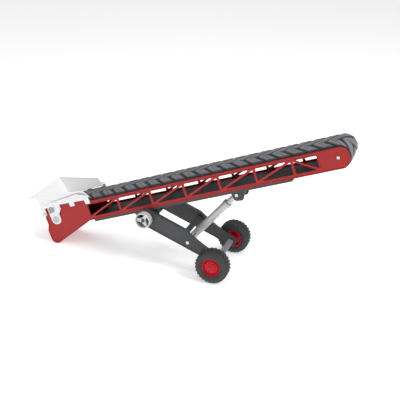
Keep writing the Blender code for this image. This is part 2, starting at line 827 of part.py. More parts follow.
def arm(name, side):
    """A flat arm from the pivot to the axle, with a raised edge along its outside."""
    length = ARM_LENGTH
    corners = [
        (-0.0165, -0.0155, 0.0155),
        (0.018, -0.0160, 0.010),
        (0.139, -0.0098, 0.030),
        (length + 0.012, -0.0105, 0.0105),
        (length + 0.012, 0.0105, 0.0105),
        (0.150, 0.0120, 0.020),
        (0.125, 0.0153, 0.020),
        (0.104, 0.0198, 0.012),
        (0.086, 0.0248, 0.010),
        (0.020, 0.0215, 0.012),
        (-0.0165, 0.0175, 0.0155),
    ]
    shaft_bore = 0.0025 + CLEARANCE
    pin_bore = STRUT_PIN_RADIUS + CLEARANCE
    holes = [
        circle(0.0, 0.0, shaft_bore),
        circle(STRUT_FOOT_ALONG, STRUT_FOOT_ABOVE, pin_bore),
        circle(length, 0.0, 0.0020 + CLEARANCE),
    ]
    web = round_corners(inset_corners(corners, 0.0012))
    obj = plate(name, web, side * (ARM_INNER + 0.0004), side * (ARM_OUTER - 0.0012), holes)
    inner_edge = round_corners(inset_corners(corners, 0.0024))
    edge = round_corners(corners)
    raised = plate(name + "_edge", edge, side * ARM_INNER, side * ARM_OUTER, [inner_edge])
    as_cutter(raised, arm_axis)
    boolean(obj, raised, "UNION")
    return place(obj, dark_plastic, arm_axis)


def axle_beam():
    """The grey beam that joins the lower ends of the arms around the axle."""
    corners = [(x, z, 0.0015) for x, z in ((-0.006, -0.006), (0.006, -0.006), (0.006, 0.006), (-0.006, 0.006))]
    reach = ARM_INNER - CLEARANCE
    axle_hole = circle(0.0, 0.0, 0.0020 + CLEARANCE)
    obj = plate("axle_beam", round_corners(corners), -reach, reach, [axle_hole])
    return place(obj, grey_plastic, arm_axis, (ARM_LENGTH, 0.0, 0.0))


def wheel_axle():
    obj = cylinder("wheel_axle", 0.0020, -0.0865, 0.0865, 24)
    return place(obj, steel, arm_axis, (ARM_LENGTH, 0.0, 0.0))


def arm_brace():
    """The cross bar that ties the arms together beside the foot of the strut."""
    reach = ARM_INNER - CLEARANCE
    corners = [(x, z, 0.0012) for x, z in ((-0.0055, -0.0048), (0.0055, -0.0048), (0.0055, 0.0048), (-0.0055, 0.0048))]
    obj = plate("arm_brace", round_corners(corners), -reach, reach)
    return place(obj, dark_plastic, arm_axis, (BRACE_ALONG, 0.0, BRACE_ABOVE))


def wheel_rim(name, side):
    """The red wheel centre, stepped and bulging outwards, hollow on its inner side."""
    outer = WHEEL_OUTER
    bore = 0.0020 + CLEARANCE
    seat = RIM_RADIUS - 0.0004
    profile = [
        (bore, outer - 0.0035),
        (0.0045, outer - 0.0035),
        (0.0052, outer - 0.0012),
        (0.0085, outer - 0.0014),
        (0.0092, outer - 0.0034),
        (0.0130, outer - 0.0044),
        (0.0136, outer - 0.0064),
        (0.0168, outer - 0.0070),
        (0.0178, outer - 0.0034),
        (RIM_RADIUS - 0.0006, outer - 0.0030),
        (seat, outer - 0.0044),
        (seat, WHEEL_INNER + 0.0030),
        (RIM_RADIUS - 0.0006, WHEEL_INNER + 0.0016),
        (0.0176, WHEEL_INNER + 0.0020),
        (0.0170, WHEEL_INNER + 0.0120),
        (0.0070, WHEEL_INNER + 0.0135),
        (0.0060, WHEEL_INNER + 0.0010),
        (bore, WHEEL_INNER + 0.0010),
    ]
    obj = turned(name, profile, 30)
    obj.rotation_euler = (-side * math.pi / 2, 0.0, 0.0)
    return place(obj, hub_plastic, arm_axis, (ARM_LENGTH, 0.0, 0.0))


def tyre(name, side):
    """A farm tyre with angled lugs on its tread."""
    middle = (WHEEL_OUTER + WHEEL_INNER) / 2
    half = (WHEEL_OUTER - WHEEL_INNER) / 2
    bead = RIM_RADIUS
    tread = WHEEL_RADIUS - 0.0016
    quarter = [
        (bead, half - 0.0034),
        (bead + 0.0030, half - 0.0012),
        (bead + 0.0075, half),
        (tread - 0.0036, half - 0.0010),
        (tread - 0.0010, half - 0.0036),
        (tread, half - 0.0080),
    ]
    profile = quarter + [(radius, -height) for radius, height in reversed(quarter)]
    obj = turned(name, profile, 36)
    obj.rotation_euler = (-side * math.pi / 2, 0.0, 0.0)
    lugs = []
    for number in range(LUG_COUNT):
        for flank in (-1, 1):
            angle = math.tau * (number + 0.25 * (1 + flank)) / LUG_COUNT
            lug = box("lug", (0.0105, half * 1.02, 0.0044), (0.0, 0.0, 0.0))
            turn = Matrix.Rotation(angle, 4, "Y") @ Matrix.Translation((0.0, 0.0, WHEEL_RADIUS - 0.0026))
            skew = Matrix.Translation((0.0, flank * (half * 0.51 - 0.0006), 0.0))
            skew = skew @ Matrix.Rotation(flank * math.radians(28), 4, "Z")
            skew = skew @ Matrix.Diagonal((0.36, 1.0, 1.0, 1.0))
            lug.data.transform(turn @ skew)
            lugs.append(lug)
    tread_lugs = merged(lugs, name + "_lugs")
    trim = turned(name + "_trim", tread_envelope(half), 36)
    trim.rotation_euler = ALONG_Y
    wheel_centre = (ARM_LENGTH, side * middle, 0.0)
    as_cutter(trim, arm_axis, wheel_centre)
    as_cutter(tread_lugs, arm_axis, wheel_centre)
    boolean(tread_lugs, trim, "INTERSECT")
    boolean(obj, tread_lugs, "UNION")
    return place(obj, tyre_rubber, arm_axis, wheel_centre)


def tread_envelope(half):
    """The outer shape that the tread lugs are trimmed to."""
    low = WHEEL_RADIUS - 0.0050
    return [
        (low, half - 0.0004),
        (WHEEL_RADIUS - 0.0042, half - 0.0004),
        (WHEEL_RADIUS - 0.0010, half - 0.0030),
        (WHEEL_RADIUS, half - 0.0075),
        (WHEEL_RADIUS, -half + 0.0075),
        (WHEEL_RADIUS - 0.0010, -half + 0.0030),
        (WHEEL_RADIUS - 0.0042, -half + 0.0004),
        (low, -half + 0.0004),
    ]


def hub_cap(name, side):
    """The push-on cap that keeps the wheel on its axle."""
    profile = [
        (0.0, WHEEL_OUTER + 0.0004),
        (0.0022, WHEEL_OUTER),
        (0.0036, WHEEL_OUTER - 0.0014),
        (0.0036, WHEEL_OUTER - 0.0032),
        (0.0, WHEEL_OUTER - 0.0032),
    ]
    obj = turned(name, profile, 24)
    obj.rotation_euler = (-side * math.pi / 2, 0.0, 0.0)
    return place(obj, hub_plastic, arm_axis, (ARM_LENGTH, 0.0, 0.0))


# ---------------------------------------------------------------------- strut


def strut_tube():
    """The outer tube of the telescopic strut, closed and bored across at its foot."""
    bore = STRUT_ROD_RADIUS + CLEARANCE
    profile = [
        (bore, STRUT_TUBE_END),
        (STRUT_TUBE_RADIUS - 0.0008, STRUT_TUBE_END),
        (STRUT_TUBE_RADIUS, STRUT_TUBE_END - 0.0008),
        (STRUT_TUBE_RADIUS, -0.0090),
        (STRUT_TUBE_RADIUS - 0.0016, -0.0108),
        (0.0, -0.0108),
        (0.0, 0.0080),
        (bore, 0.0080),
    ]
    obj = turned("strut_tube", profile, 28)
    obj.rotation_euler = ALONG_X
    pin_bore = as_cutter(
        cylinder("strut_foot_bore", STRUT_PIN_RADIUS + CLEARANCE, -0.02, 0.02, 24), strut_axis
    )
    boolean(obj, pin_bore, "DIFFERENCE")
    return place(obj, silver_plastic, strut_axis)


def strut_rod():
    """The inner rod, with an open eye that stands clear round the head pin."""
    length = STRUT_LENGTH
    body = turned(
        "strut_rod",
        [
            (0.0, length - 0.0070),
            (STRUT_ROD_RADIUS, length - 0.0070),
            (STRUT_ROD_RADIUS, 0.0420),
            (STRUT_ROD_RADIUS - 0.0006, 0.0410),
            (0.0, 0.0410),
        ],
        32,
    )
    body.rotation_euler = ALONG_X
    eye = plate(
        "strut_eye",
        circle(0.0, 0.0, 0.0090, 32),
        -0.0050,
        0.0050,
        [circle(0.0, 0.0, OPEN_PIVOT_RADIUS)],
    )
    as_cutter(eye, strut_axis, (length, 0.0, 0.0))
    boolean(body, eye, "UNION")
    return place(body, silver_plastic, strut_axis)


def strut_collar():
    """The gland nut on the upper end of the tube."""
    bore = STRUT_TUBE_RADIUS + CLEARANCE
    low = STRUT_TUBE_END - 0.0085
    profile = [
        (bore, STRUT_TUBE_END - 0.0012),
        (bore + 0.0008, STRUT_TUBE_END - 0.0012),
        (bore + 0.0012, STRUT_TUBE_END - 0.0016),
        (bore + 0.0012, low),
        (bore, low),
    ]
    obj = turned("strut_collar", profile, 28)
    obj.rotation_euler = ALONG_X
    return place(obj, silver_plastic, strut_axis)


def strut_foot_pin():
    """The pin across both arms that carries the foot of the strut."""
    face = ARM_OUTER - 0.0012 + CLEARANCE
    profile = [
        (0.0, face + 0.0022),
        (0.0034, face + 0.0022),
        (0.0042, face + 0.0012),
        (0.0042, face),
        (STRUT_PIN_RADIUS, face),
        (STRUT_PIN_RADIUS, -face),
        (0.0042, -face),
        (0.0042, -face - 0.0012),
        (0.0034, -face - 0.0022),
        (0.0, -face - 0.0022),
    ]
    obj = turned("strut_foot_pin", profile, 16)
    obj.rotation_euler = ALONG_Y
    return place(obj, steel, arm_axis, (STRUT_FOOT_ALONG, 0.0, STRUT_FOOT_ABOVE))


# --------------------------------------------------------------------- hopper


def hopper_shell():
    """The open funnel between the rim and the belt, as a thin solid."""
    belt_face = ROLLER_Z + BELT_OUTER_RADIUS + CLEAT_HEIGHT
    low = belt_face + 0.0022
    throat_half = 0.0345
    rim = [
        (HOPPER_LEFT, -HOPPER_LEFT_HALF, HOPPER_LEFT_Z),
        (HOPPER_RIGHT, -HOPPER_RIGHT_HALF, HOPPER_RIGHT_Z),
        (HOPPER_RIGHT, HOPPER_RIGHT_HALF, HOPPER_RIGHT_Z),
        (HOPPER_LEFT, HOPPER_LEFT_HALF, HOPPER_LEFT_Z),
    ]
    throat = [
        (-0.3440, -throat_half, low + 0.0010),
        (-0.2500, -throat_half, low),
        (-0.2500, throat_half, low),
        (-0.3440, throat_half, low + 0.0010),
    ]
    mesh = bpy.data.meshes.new("hopper")
    shape = bmesh.new()
    upper = [shape.verts.new(point) for point in rim]
    lower = [shape.verts.new(point) for point in throat]
    for first, second in ((0, 1), (2, 3), (3, 0)):
        shape.faces.new((upper[first], upper[second], lower[second], lower[first]))
    bmesh.ops.triangulate(shape, faces=shape.faces)
    bmesh.ops.recalc_face_normals(shape, faces=shape.faces)
    shape.to_mesh(mesh)
    shape.free()
    mesh.transform(Matrix.Translation((-HOPPER_HINGE_X, 0.0, -HOPPER_HINGE_Z)))
    obj = bpy.data.objects.new("hopper", mesh)
    solid = obj.modifiers.new("wall", "SOLIDIFY")
    solid.thickness = HOPPER_WALL
    solid.offset = 0.0
    solid.use_even_offset = True
    return obj


def hopper_rim_lip():
    """The turned-over lip that runs round three sides of the rim."""
    curve = bpy.data.curves.new("hopper_lip", "CURVE")
    curve.dimensions = "3D"
    curve.bevel_depth = 0.0019
    curve.bevel_resolution = 2
    curve.use_fill_caps = True
    spline = curve.splines.new("POLY")
    route = [
        (HOPPER_RIGHT, -HOPPER_RIGHT_HALF, HOPPER_RIGHT_Z),
        (HOPPER_LEFT, -HOPPER_LEFT_HALF, HOPPER_LEFT_Z),
        (HOPPER_LEFT, HOPPER_LEFT_HALF, HOPPER_LEFT_Z),
        (HOPPER_RIGHT, HOPPER_RIGHT_HALF, HOPPER_RIGHT_Z),
    ]
    spline.points.add(len(route) - 1)
    for point, target in zip(spline.points, route):
        point.co = (target[0] - HOPPER_HINGE_X, target[1], target[2] - HOPPER_HINGE_Z, 1.0)
    return curve_to_mesh("hopper_lip", curve)


def hopper_side(side):
    """A skirt outside a side frame, with its clips and the round ear below it."""
    y_inner = side * (BOOM_HALF_WIDTH + CLEARANCE)
    y_outer = side * (BOOM_HALF_WIDTH + CLEARANCE + 0.0018)
    skirt = [
        (-0.3745, 0.0462, 0.0),
        (-0.3625, 0.0462, 0.0),
        (-0.3535, 0.0374, 0.0),
        (-0.3000, 0.0415, 0.0),
        (-0.2755, 0.0445, 0.0),
        (-0.2490, 0.0345, 0.003),
        (-0.2475, 0.0170, 0.0015),
        (-0.2590, 0.0170, 0.0015),
        (-0.2590, 0.0270, 0.0),
        (-0.2870, 0.0280, 0.0),
        (-0.2870, 0.0190, 0.0015),
        (-0.2990, 0.0190, 0.0015),
        (-0.2990, 0.0285, 0.0),
        (-0.3260, 0.0290, 0.0),
        (-0.3260, 0.0190, 0.0015),
        (-0.3350, 0.0080, 0.004),
        (-0.3345, -0.0145, 0.0110),
        (-0.3585, -0.0145, 0.0110),
        (-0.3590, 0.0300, 0.001),
        (-0.3660, 0.0300, 0.001),
        (-0.3665, 0.0085, 0.0045),
        (-0.3775, 0.0085, 0.0045),
        (-0.3775, 0.0190, 0.0045),
    ]
    corners = [(x - HOPPER_HINGE_X, z - HOPPER_HINGE_Z, radius) for x, z, radius in skirt]
    hinge_hole = circle(0.0, 0.0, RIVET_RADIUS + CLEARANCE)
    return plate("hopper_side", round_corners(corners), y_inner, y_outer, [hinge_hole])


def hopper_ear_rim(side):
    """The raised ring on the round ear at the lower end of the skirt."""
    y_outer = side * (BOOM_HALF_WIDTH + CLEARANCE + 0.0018)
    centre = (-0.3466 - HOPPER_HINGE_X, -0.0032 - HOPPER_HINGE_Z)
    ring = circle(*centre, 0.0108, 32)
    ring_hole = circle(*centre, 0.0084, 32)
    return plate("ear_rim", ring, y_outer - side * 0.0006, y_outer + side * 0.0012, [ring_hole])


def hopper_ledge(side):
    """The short bridge between the funnel's narrow end and its skirt."""
    y_from = 0.0366
    y_to = BOOM_HALF_WIDTH + 0.0012
    size = (0.0400, y_to - y_from, 0.0020)
    centre = (-0.2695 - HOPPER_HINGE_X, side * (y_from + y_to) / 2, 0.0330 - HOPPER_HINGE_Z)
    return box("hopper_ledge", size, centre)


def hopper():
    location = (HOPPER_HINGE_X, 0.0, HOPPER_HINGE_Z)
    shell = hopper_shell()
    place(shell, white_plastic, boom_axis, location)
    tools = [hopper_rim_lip()]
    for side in (-1, 1):
        tools += [hopper_side(side), hopper_ledge(side), hopper_ear_rim(side)]
    for tool in tools:
        as_cutter(tool, boom_axis, location)
        boolean(shell, tool, "UNION")
    return shell


def hopper_hinge_pin(name, side):
    """A rivet through the foot's upper corner that the hopper turns on."""
    inner = SIDE_INNER + 0.0005
    outer = BOOM_HALF_WIDTH + CLEARANCE + 0.0018 + CLEARANCE
    profile = [
        (0.0, outer + 0.0012),
        (0.0028, outer + 0.0012),
        (0.0034, outer + 0.0006),
        (0.0034, outer),
        (RIVET_RADIUS, outer),
        (RIVET_RADIUS, inner),
        (0.0, inner),
    ]
    obj = turned(name, profile, 16)
    obj.rotation_euler = (-side * math.pi / 2, 0.0, 0.0)
    return place(obj, steel, boom_axis, (HOPPER_HINGE_X, 0.0, HOPPER_HINGE_Z))


# ------------------------------------------------------------------- assembly

boom_axis = make_axis("boom_axis", (BOOM_X, 0.0, BOOM_Z), BOOM_TILT)
pivot_point = boom_to_world(PIVOT_X, PIVOT_Z)
axle_point = Vector((WHEEL_X, 0.0, WHEEL_RADIUS))
arm_vector = axle_point - pivot_point
ARM_LENGTH = arm_vector.length
arm_tilt = math.atan2(arm_vector.z, arm_vector.x)
arm_axis = make_axis("arm_axis", pivot_point, arm_tilt)
strut_foot = pivot_point + Vector((
    STRUT_FOOT_ALONG * math.cos(arm_tilt) - STRUT_FOOT_ABOVE * math.sin(arm_tilt),
    0.0,
    STRUT_FOOT_ALONG * math.sin(arm_tilt) + STRUT_FOOT_ABOVE * math.cos(arm_tilt),
))
strut_vector = boom_to_world(STRUT_HEAD_X, STRUT_HEAD_Z) - strut_foot
STRUT_LENGTH = strut_vector.length
strut_axis = make_axis("strut_axis", strut_foot, math.atan2(strut_vector.z, strut_vector.x))

SIDES = (("near", -1), ("far", 1))

for side_name, side_sign in SIDES:
    side_frame("side_frame_" + side_name, side_sign)
    pivot_lug("pivot_lug_" + side_name, side_sign)
    strut_lug("strut_lug_" + side_name, side_sign)
    hopper_hinge_pin("hopper_hinge_pin_" + side_name, side_sign)
    arm("arm_" + side_name, side_sign)
    wheel_rim("wheel_rim_" + side_name, side_sign)
    tyre("tyre_" + side_name, side_sign)
    hub_cap("hub_cap_" + side_name, side_sign)

foot_pan()
conveyor_belt()
slider_bed()
undertray()
roller("head_roller", HEAD_ROLLER_X)
roller("tail_roller", TAIL_ROLLER_X)
head_roller_pin()
tail_roller_pin()
for bar in (1, 3, 5):
    tie_bar(f"tie_bar_{bar}", bar)
drive_shaft()
drive_roller()
hand_wheel()
hand_wheel_screw()
strut_head_pin()
axle_beam()
wheel_axle()
arm_brace()
strut_foot_pin()
strut_tube()
strut_collar()
strut_rod()
hopper()
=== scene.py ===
"""Looks of the toy belt conveyor: materials, finer pieces, light and camera.

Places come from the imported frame: its joints, its nodes' boxes and the boom's own
direction. Lengths are in metres, and the near side is -y.
"""

import json
import math

import bmesh
import bpy
from mathutils import Matrix, Vector


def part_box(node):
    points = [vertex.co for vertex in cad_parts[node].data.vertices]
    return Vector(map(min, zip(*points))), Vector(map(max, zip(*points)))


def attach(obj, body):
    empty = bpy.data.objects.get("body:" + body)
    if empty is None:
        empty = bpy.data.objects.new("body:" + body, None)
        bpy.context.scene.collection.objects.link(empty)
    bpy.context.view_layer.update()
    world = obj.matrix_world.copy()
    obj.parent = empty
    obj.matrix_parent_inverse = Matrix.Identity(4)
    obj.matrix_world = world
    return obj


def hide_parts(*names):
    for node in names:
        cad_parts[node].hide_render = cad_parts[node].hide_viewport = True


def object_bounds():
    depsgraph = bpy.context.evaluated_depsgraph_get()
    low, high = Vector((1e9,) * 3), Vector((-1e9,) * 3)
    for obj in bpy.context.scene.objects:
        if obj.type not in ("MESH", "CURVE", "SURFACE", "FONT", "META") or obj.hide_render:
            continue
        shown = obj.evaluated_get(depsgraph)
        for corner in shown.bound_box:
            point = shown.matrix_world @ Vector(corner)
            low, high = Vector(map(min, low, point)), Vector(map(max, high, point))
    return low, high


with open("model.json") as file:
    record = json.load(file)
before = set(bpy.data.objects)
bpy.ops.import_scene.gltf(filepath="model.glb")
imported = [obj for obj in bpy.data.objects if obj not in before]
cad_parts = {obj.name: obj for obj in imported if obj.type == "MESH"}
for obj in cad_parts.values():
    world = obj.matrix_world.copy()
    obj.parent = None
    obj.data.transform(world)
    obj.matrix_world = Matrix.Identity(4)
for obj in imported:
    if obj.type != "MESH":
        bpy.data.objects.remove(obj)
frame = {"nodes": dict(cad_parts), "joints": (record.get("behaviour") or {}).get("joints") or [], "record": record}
cad_low, cad_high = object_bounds()
nodes = frame["nodes"]
joints = {joint["name"]: joint for joint in frame["joints"]}


def joint_at(name):
    return Vector(joints[name]["pos_m"])


HEAD = joint_at("head_roller_spin")
TAIL = joint_at("tail_roller_spin")
ALONG = (HEAD - TAIL).normalized()
UP = Vector((-ALONG.z, 0.0, ALONG.x))
SIDE = Vector((0.0, 1.0, 0.0))
SIDES = (("near", -1), ("far", 1))
TINY = 0.000001

# Belt
BELT_INNER = 0.0188
BELT_OUTER = 0.0230
BELT_HALF_WIDTH = 0.037
BELT_COLUMNS = 36
STEPS_PER_CLEAT = 18
# stored height at the belt's inner edge corners, which the groove ramp turns into painted shade
INNER_FACE_SHADE = 0.4

# Chevrons: their lean from the belt's middle to its edge, and how it curves
CLEAT_COUNT = 50
CLEAT_HEIGHT = 0.0023
CLEAT_LEAN = 0.027
LEAN_POWER = 1.15

# One chevron's face, in shares of the pitch from one chevron to the next
CLEAT_START = 0.36
RISE_LENGTH = 0.08
FALL_LENGTH = 0.20
FALL_END = 0.88
LINE_PLACE = 0.40
LINE_WIDTH = 0.035
LINE_DEPTH = 0.45
DIMPLE_PLACE = 0.74
DIMPLE_LENGTH = 0.17
DIMPLE_WIDTH = 0.0036
DIMPLE_DEPTH = 0.95
BORDER_WIDTH = 0.0028
BORDER_LEVEL = 0.45

# Wheels: the rim's edge is a share of the tyre's outer radius
WHEEL_STEPS = 96
RIM_EDGE = 0.569
TREAD_DEPTH = 0.0019
TYRE_ROUNDING = 0.0008
RIM_ROUNDING = 0.0009

# Half the tyre's section: out from the bead, or in from the carcass, and in from the side
TYRE_WALL = (
    (0.0, 0.0030),
    (0.0012, 0.0016),
    (0.0024, 0.0018),
    (0.0034, 0.0006),
    (0.0056, 0.0),
    (0.0085, 0.0004),
)
TYRE_SHOULDER = ((0.0032, 0.0012), (0.0010, 0.0030), (0.0, 0.0064))

# Tyre lugs, each swept from the middle of the tread over its shoulder
LUG_PAIRS = 27
LUG_STATIONS = 7
LUG_OVERLAP = 0.0012
LUG_INSET = 0.0002
LUG_SWEEP = 0.20
SWEEP_POWER = 0.85
SHOULDER_START = 0.72
SHOULDER_DROP = 0.0042
LUG_CROWN = 0.0003
LUG_ROOT = 0.0016
LUG_HALF_WIDTH = 0.0015
LUG_WIDENING = 0.0006
LUG_FLARE = 1.35

# The rim's section: radius, or in from its edge, and depth from the face or the back
HUB_STEPS = (
    (0.0, 0.0),
    (0.0026, 0.0),
    (0.0038, 0.0010),
    (0.0044, 0.0024),
    (0.0070, 0.0020),
    (0.0090, 0.0026),
    (0.0100, 0.0042),
    (0.0128, 0.0042),
    (0.0142, 0.0052),
    (0.0148, 0.0072),
    (0.0170, 0.0076),
    (0.0180, 0.0040),
)
RIM_LIP = ((0.0008, 0.0022), (0.0001, 0.0038))
RIM_BACK_LIP = ((0.0001, 0.0020), (0.0010, 0.0004))
HUB_BACK = (
    (0.0176, 0.0008),
    (0.0170, 0.0110),
    (0.0070, 0.0125),
    (0.0060, 0.0),
    (0.0, 0.0),
)

# Strut: radius, and distance up the strut from its foot pin
STRUT_BORE = 0.0065
STRUT_RADIUS = 0.0083
GLAND_RADIUS = 0.0097
GLAND_BORE = 0.0066
TUBE_ROUNDING = 0.0007
GLAND_ROUNDING = 0.0004
TUBE_SECTION = (
    (STRUT_BORE, 0.1068),
    (STRUT_RADIUS, 0.1068),
    (STRUT_RADIUS, 0.0120),
    (0.0080, 0.0112),
    (STRUT_RADIUS, 0.0104),
    (STRUT_RADIUS, -0.0088),
    (0.0068, -0.0107),
    (0.0, -0.0107),
    (0.0, 0.0080),
    (STRUT_BORE, 0.0080),
)
GLAND_SECTION = (
    (GLAND_BORE, 0.1085),
    (0.0090, 0.1085),
    (GLAND_RADIUS, 0.1078),
    (GLAND_RADIUS, 0.1052),
    (0.0090, 0.1046),
    (GLAND_RADIUS, 0.1040),
    (GLAND_RADIUS, 0.1008),
    (0.0086, 0.0996),
    (GLAND_BORE, 0.0996),
)

# Hopper skirts, in the boom's own side view: x along it and z square to it
TAIL_ALONG = -0.342
ROLLER_HEIGHT = 0.00165
SKIRT_FACE = 0.0446
PAD_ROOT = 0.0003
SKIRT_CLIPS = (
    (-0.3385, -0.3278, 0.0195, 0.0362),
    (-0.2986, -0.2874, 0.0194, 0.0388),
    (-0.2586, -0.2480, 0.0174, 0.0330),
)
CLIP_TAPER = 0.0008
CLIP_RISE = 0.0011
CLIP_CHAMFER = 0.0005
EAR_X = -0.3466
EAR_Z = -0.0032
EAR_RADIUS = 0.0081
EAR_STEPS = 40
EAR_RISE = 0.0004
EAR_CHAMFER = 0.0003
LINK_CORNERS = (
    (-0.3572, 0.0128),
    (-0.3440, 0.0150),
    (-0.3408, 0.0250),
    (-0.3520, 0.0282),
    (-0.3572, 0.0240),
)
LINK_RISE = 0.0012
LINK_CHAMFER = 0.0005

# Rounding of the CAD nodes that stay visible
FLAT_ANGLE = math.radians(1)
EDGE_ANGLE = math.radians(40)
WELD_REACH = 0.000002
EDGE_SEGMENTS = 2
NORMAL_WEIGHT = 80
SOFT_EDGES = {
    "side_frame_near": 0.00035,
    "side_frame_far": 0.00035,
    "foot_pan": 0.0005,
    "undertray": 0.0004,
    "pivot_lug_near": 0.0005,
    "pivot_lug_far": 0.0005,
    "strut_lug_near": 0.0005,
    "strut_lug_far": 0.0005,
    "arm_near": 0.0006,
    "arm_far": 0.0006,
    "axle_beam": 0.0008,
    "hand_wheel": 0.0005,
    "hopper": 0.0003,
    "drive_roller": 0.0004,
    "slider_bed": 0.0003,
    "strut_rod": 0.0004,
}

# Colours, linear
RED = (0.38, 0.008, 0.010)
HUB_RED = (0.52, 0.010, 0.018)
DARK_GREY = (0.054, 0.057, 0.063)
BELT_GREY = (0.135, 0.138, 0.150)
TYRE_BLACK = (0.040, 0.043, 0.043)
WHITE = (0.84, 0.84, 0.85)
SILVER = (0.62, 0.63, 0.65)
BEAM_GREY = (0.22, 0.23, 0.25)
# painted shade: grey standing for the shaded hollow of the white hopper ear
EAR_SHADE_GREY = (0.52, 0.54, 0.57)
# painted shade: grey standing for the shade on the white skirt beside the ear
LINK_SHADE_GREY = (0.34, 0.35, 0.36)
STEEL = (0.62, 0.62, 0.64)

# Textures: scales per metre, bump depths in metres
DRIFT_SCALE = 22.0
DUST_SCALE = 260.0
FLOW_SCALE = 45.0
FLOW_DEPTH = 0.0003
GRAIN_SCALE = 1400.0
GRAIN_DEPTH = 0.00002
TARNISH_SCALE = 180.0
STREAK_SCALE = 900.0
STREAK_STRETCH = (0.2, 6.0, 0.2)
STREAK_DEPTH = 0.00002
NOISE_LOW = 0.3
NOISE_HIGH = 0.7

# Light and floor: each lamp's place, size and power
LAMPS = (
    ("key_light", (1.7, -0.3, 1.7), 1.0, 30.0),
    ("fill_light", (-1.2, -1.6, 1.0), 1.2, 7.0),
    ("top_light", (0.2, 0.4, 2.1), 1.2, 12.0),
)
LAMP_AIM = Vector((0.0, 0.0, 0.15))
WORLD_STRENGTH = 0.46
FLOOR_SIZE = 24.0
FLOOR_DROP = 0.0002
FLOOR_GREY = 0.90
FLOOR_GLOW = 0.42

# Camera
CAMERA_AZIMUTH = math.radians(18.99)
CAMERA_ELEVATION = math.radians(23.31)
CAMERA_ROLL = math.radians(1.53)
CAMERA_DISTANCE = 1.6665
CAMERA_AIM = Vector((0.0312, 0.0, 0.1442))
CAMERA_LENS = 70.6
CAMERA_SENSOR = 36.0


# ------------------------------------------------------------------ materials


def scaled(colour, factor):
    return (*(min(1.0, channel * factor) for channel in colour), 1.0)


def grey(level):
    return (level, level, level, 1.0)


def link(tree, source, output, target, socket):
    tree.links.new(source.outputs[output], target.inputs[socket])


def noise(tree, coordinates, scale, detail=3.0, roughness=0.5):
    node = tree.nodes.new("ShaderNodeTexNoise")
    node.inputs["Scale"].default_value = scale
    node.inputs["Detail"].default_value = detail
    node.inputs["Roughness"].default_value = roughness
    link(tree, coordinates, "Object", node, "Vector")
    return node


def ramp(tree, source, output, stops):
    node = tree.nodes.new("ShaderNodeValToRGB")
    link(tree, source, output, node, "Fac")
    elements = node.color_ramp.elements
    while len(elements) < len(stops):
        elements.new(0.5)
    for element, (position, colour) in zip(elements, stops):
        element.position = position
        element.color = colour
    return node


def map_range(tree, source, output, low, high):
    """Spreads a noise's middle values over a range."""
    node = tree.nodes.new("ShaderNodeMapRange")
    node.inputs["From Min"].default_value = NOISE_LOW
    node.inputs["From Max"].default_value = NOISE_HIGH
    node.inputs["To Min"].default_value = low
    node.inputs["To Max"].default_value = high
    link(tree, source, output, node, "Value")
    return node


def bump(tree, height, output, strength, distance, normal=None):
    node = tree.nodes.new("ShaderNodeBump")
    node.inputs["Strength"].default_value = strength
    node.inputs["Distance"].default_value = distance
    link(tree, height, output, node, "Height")
    if normal is not None:
        link(tree, normal, "Normal", node, "Normal")
    return node


def new_material(name):
    """A node material, with its tree, its shader and its object coordinates."""
    material = bpy.data.materials.new(name)
    material.use_nodes = True
    tree = material.node_tree
    return material, tree, tree.nodes["Principled BSDF"], tree.nodes.new("ShaderNodeTexCoord")


def moulded(
    name,
    colour,
    roughness,
    spread,
    grain=GRAIN_SCALE,
    grain_depth=GRAIN_DEPTH,
    metallic=0.0,
    shine=0.4,
):
    """Moulded plastic or rubber: soft colour drift, dust, faint flow marks and fine grain."""
    material, tree, shader, coordinates = new_material(name)
    drift = noise(tree, coordinates, DRIFT_SCALE, 4.0, 0.6)
    tints = (
        (0.30, scaled(colour, 1 - spread)),
        (0.55, scaled(colour, 1.0)),
        (0.75, scaled(colour, 1 + spread)),
    )
    tint = ramp(tree, drift, "Fac", tints)
    dust = noise(tree, coordinates, DUST_SCALE, 6.0, 0.7)
    dust_mask = ramp(tree, dust, "Fac", ((0.58, grey(0.0)), (0.80, grey(0.10))))
    dusted = tree.nodes.new("ShaderNodeMix")
    dusted.data_type = "RGBA"
    dust_colour = tuple(0.35 + 0.5 * channel for channel in colour)
    dusted.inputs["B"].default_value = scaled(dust_colour, 1.0)
    link(tree, dust_mask, "Color", dusted, "Factor")
    link(tree, tint, "Color", dusted, "A")
    link(tree, dusted, "Result", shader, "Base Color")
    gloss = map_range(tree, drift, "Fac", roughness * 0.85, min(1.0, roughness * 1.2))
    link(tree, gloss, "Result", shader, "Roughness")
    flow = bump(tree, noise(tree, coordinates, FLOW_SCALE, 2.0), "Fac", 0.25, FLOW_DEPTH)
    fine = bump(tree, noise(tree, coordinates, grain, 2.0), "Fac", 0.35, grain_depth, flow)
    link(tree, fine, "Normal", shader, "Normal")
    shader.inputs["Metallic"].default_value = metallic
    shader.inputs["Specular IOR Level"].default_value = shine
    return material


def brushed(name, colour, roughness):
    """Turned bright metal: fine rings of brushing round the y axis and a slight tarnish."""
    material, tree, shader, coordinates = new_material(name)
    tarnish = noise(tree, coordinates, TARNISH_SCALE, 4.0)
    tint = ramp(tree, tarnish, "Fac", ((0.35, scaled(colour, 0.82)), (0.65, scaled(colour, 1.05))))
    link(tree, tint, "Color", shader, "Base Color")
    stretch = tree.nodes.new("ShaderNodeMapping")
    stretch.inputs["Scale"].default_value = STREAK_STRETCH
    link(tree, coordinates, "Object", stretch, "Vector")
    streaks = tree.nodes.new("ShaderNodeTexNoise")
    streaks.inputs["Scale"].default_value = STREAK_SCALE
    link(tree, stretch, "Vector", streaks, "Vector")
    gloss = map_range(tree, streaks, "Fac", roughness * 0.7, roughness * 1.4)
    link(tree, gloss, "Result", shader, "Roughness")
    lines = bump(tree, streaks, "Fac", 0.2, STREAK_DEPTH)
    link(tree, lines, "Normal", shader, "Normal")
    shader.inputs["Metallic"].default_value = 1.0
    return material


